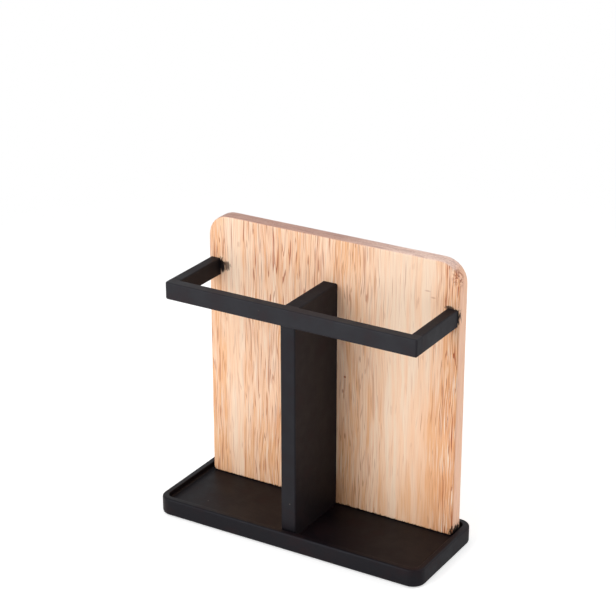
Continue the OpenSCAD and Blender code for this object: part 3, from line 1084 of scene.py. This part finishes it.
def dowel(settings, node, material):
    """Fluted dowel with chamfered ends."""
    low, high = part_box(node)
    total = high[1] - low[1]
    radius = (high[0] - low[0]) / 2
    chamfer = radius / 4
    place = from_end(node, Y, True)
    steps = settings.flutes * 6
    rings = []
    for depth in [0, chamfer] + [total * k / 8 for k in range(1, 8)] + [total - chamfer, total]:
        end = min(depth, total - depth, chamfer)
        ring = []
        for i in range(steps):
            turn = 2 * math.pi * i / steps
            groove = max(0.0, math.cos(turn * settings.flutes)) ** 2 * radius * 0.1
            reach = radius - groove - (chamfer - end)
            ring.append(place(reach * math.cos(turn), reach * math.sin(turn), depth))
        rings.append(ring)
    made = Shape()
    made.loft(rings)
    made.cap(rings[0])
    made.cap(rings[-1])
    made.weld()
    return made.piece(node.replace("dowel", "fluted_dowel"), [node], material)


def foot(node, material):
    """Moulded rubber foot with a round lower edge, a bearing ring and a shallow dish inside it."""
    low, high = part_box(node)
    radius, height = (high[0] - low[0]) / 2, high[2] - low[2]
    ease = height / 5
    ring_in, dish = radius * 0.72, height / 6
    profile = [(0, dish), (ring_in * 0.5, dish), (ring_in - ease, dish)]
    profile += [(ring_in + x, dish - dish * y) for x, y in ((0, 0.5), (ease / 2, 0.9), (ease, 1.0))]
    profile += [(radius - ease + x, ease - y) for x, y in arc(0, 0, ease, 90, 0, EDGE_STEPS)]
    profile += [(radius, height - ease / 2), (radius - ease / 2, height), (radius / 2, height),
                (0, height)]
    made = Shape()
    made.turned(from_end(node, Z, True), profile, steps=48)
    made.weld()
    return made.piece(node.replace("foot", "rubber_foot"), [node], material, sharp=50)


# Operators

class HOLDER_OT_back_board(Operator):
    """Builds the upright wooden board"""

    bl_idname = "holder.back_board"
    bl_label = "Back board"

    def execute(self, context):
        settings = context.scene.holder.board
        back_board(settings, pale_wood(settings))
        return {"FINISHED"}


class HOLDER_OT_tray(Operator):
    """Builds the tray"""

    bl_idname = "holder.tray"
    bl_label = "Tray"

    def execute(self, context):
        settings = context.scene.holder.lacquer
        tray(settings, black_lacquer(settings, "lacquered_tray", X, settings.tray_gloss, settings.rubbed))
        return {"FINISHED"}


class HOLDER_OT_divider(Operator):
    """Builds the panel between the compartments"""

    bl_idname = "holder.divider"
    bl_label = "Divider"

    def execute(self, context):
        settings = context.scene.holder.lacquer
        divider(settings, black_lacquer(settings, "lacquered_divider", Z, settings.divider_gloss))
        return {"FINISHED"}


class HOLDER_OT_rail(Operator):
    """Builds the guard rail: the front bar and its two arms"""

    bl_idname = "holder.rail"
    bl_label = "Guard rail"

    def execute(self, context):
        settings = context.scene.holder.lacquer
        rail_bar(settings, black_lacquer(settings, "lacquered_bar", X, settings.bar_gloss))
        arms = black_lacquer(settings, "lacquered_arms", Y, settings.arm_gloss)
        rail_arm(settings, 0, arms)
        rail_arm(settings, 1, arms)
        return {"FINISHED"}


class HOLDER_OT_screws(Operator):
    """Builds the seven wood screws"""

    bl_idname = "holder.screws"
    bl_label = "Screws"

    def execute(self, context):
        settings = context.scene.holder.fixings
        zinc = zinc_plate(settings)
        for node in BACK_SCREWS:
            screw(settings, node, from_end(node, Y, False), zinc)
        for node in BELOW_SCREWS:
            screw(settings, node, from_end(node, Z, True), zinc)
        return {"FINISHED"}


class HOLDER_OT_dowels(Operator):
    """Builds the three dowels behind the front bar"""

    bl_idname = "holder.dowels"
    bl_label = "Dowels"

    def execute(self, context):
        settings = context.scene.holder.fixings
        wood = beech(settings)
        for node in DOWELS:
            dowel(settings, node, wood)
        return {"FINISHED"}


class HOLDER_OT_feet(Operator):
    """Builds the four rubber feet"""

    bl_idname = "holder.feet"
    bl_label = "Feet"

    def execute(self, context):
        material = rubber(context.scene.holder.fixings)
        for node in FEET:
            foot(node, material)
        return {"FINISHED"}


class HOLDER_OT_stage(Operator):
    """Sets up the floor, the background, the lamps and the camera"""

    bl_idname = "holder.stage"
    bl_label = "Stage"

    def execute(self, context):
        settings = context.scene.holder.stage
        context.scene.view_settings.view_transform = "Standard"
        background(settings)
        floor(settings)
        lamp(settings, "key_lamp", azimuth=-20, elevation=20, distance=550 * MM,
             width=400 * MM, height=700 * MM, power=settings.key_power)
        lamp(settings, "side_lamp", azimuth=120, elevation=25, distance=600 * MM,
             width=350 * MM, height=350 * MM, power=settings.side_power)
        camera(settings)
        return {"FINISHED"}


class HOLDER_PT_sidebar(Panel):
    """Lists the steps that build the holder"""

    bl_idname = "HOLDER_PT_sidebar"
    bl_label = "Toothbrush Holder"
    bl_space_type = "VIEW_3D"
    bl_region_type = "UI"
    bl_category = "Holder"

    def draw(self, context):
        for operator in OPERATORS:
            self.layout.operator(operator.bl_idname)


SETTINGS = (BoardSettings, LacquerSettings, FixingSettings, StageSettings, HolderSettings)
OPERATORS = (HOLDER_OT_back_board, HOLDER_OT_tray, HOLDER_OT_divider, HOLDER_OT_rail, HOLDER_OT_screws,
             HOLDER_OT_dowels, HOLDER_OT_feet, HOLDER_OT_stage)
CLASSES = (*SETTINGS, *OPERATORS, HOLDER_PT_sidebar)


def register():
    for each in CLASSES:
        bpy.utils.register_class(each)
    bpy.types.Scene.holder = PointerProperty(type=HolderSettings)


def unregister():
    del bpy.types.Scene.holder
    for each in reversed(CLASSES):
        bpy.utils.unregister_class(each)


def main():
    """Builds everything in order."""
    register()
    bpy.ops.holder.back_board()
    bpy.ops.holder.tray()
    bpy.ops.holder.divider()
    bpy.ops.holder.rail()
    bpy.ops.holder.screws()
    bpy.ops.holder.dowels()
    bpy.ops.holder.feet()
    bpy.ops.holder.stage()


if __name__ == "__main__":
    main()
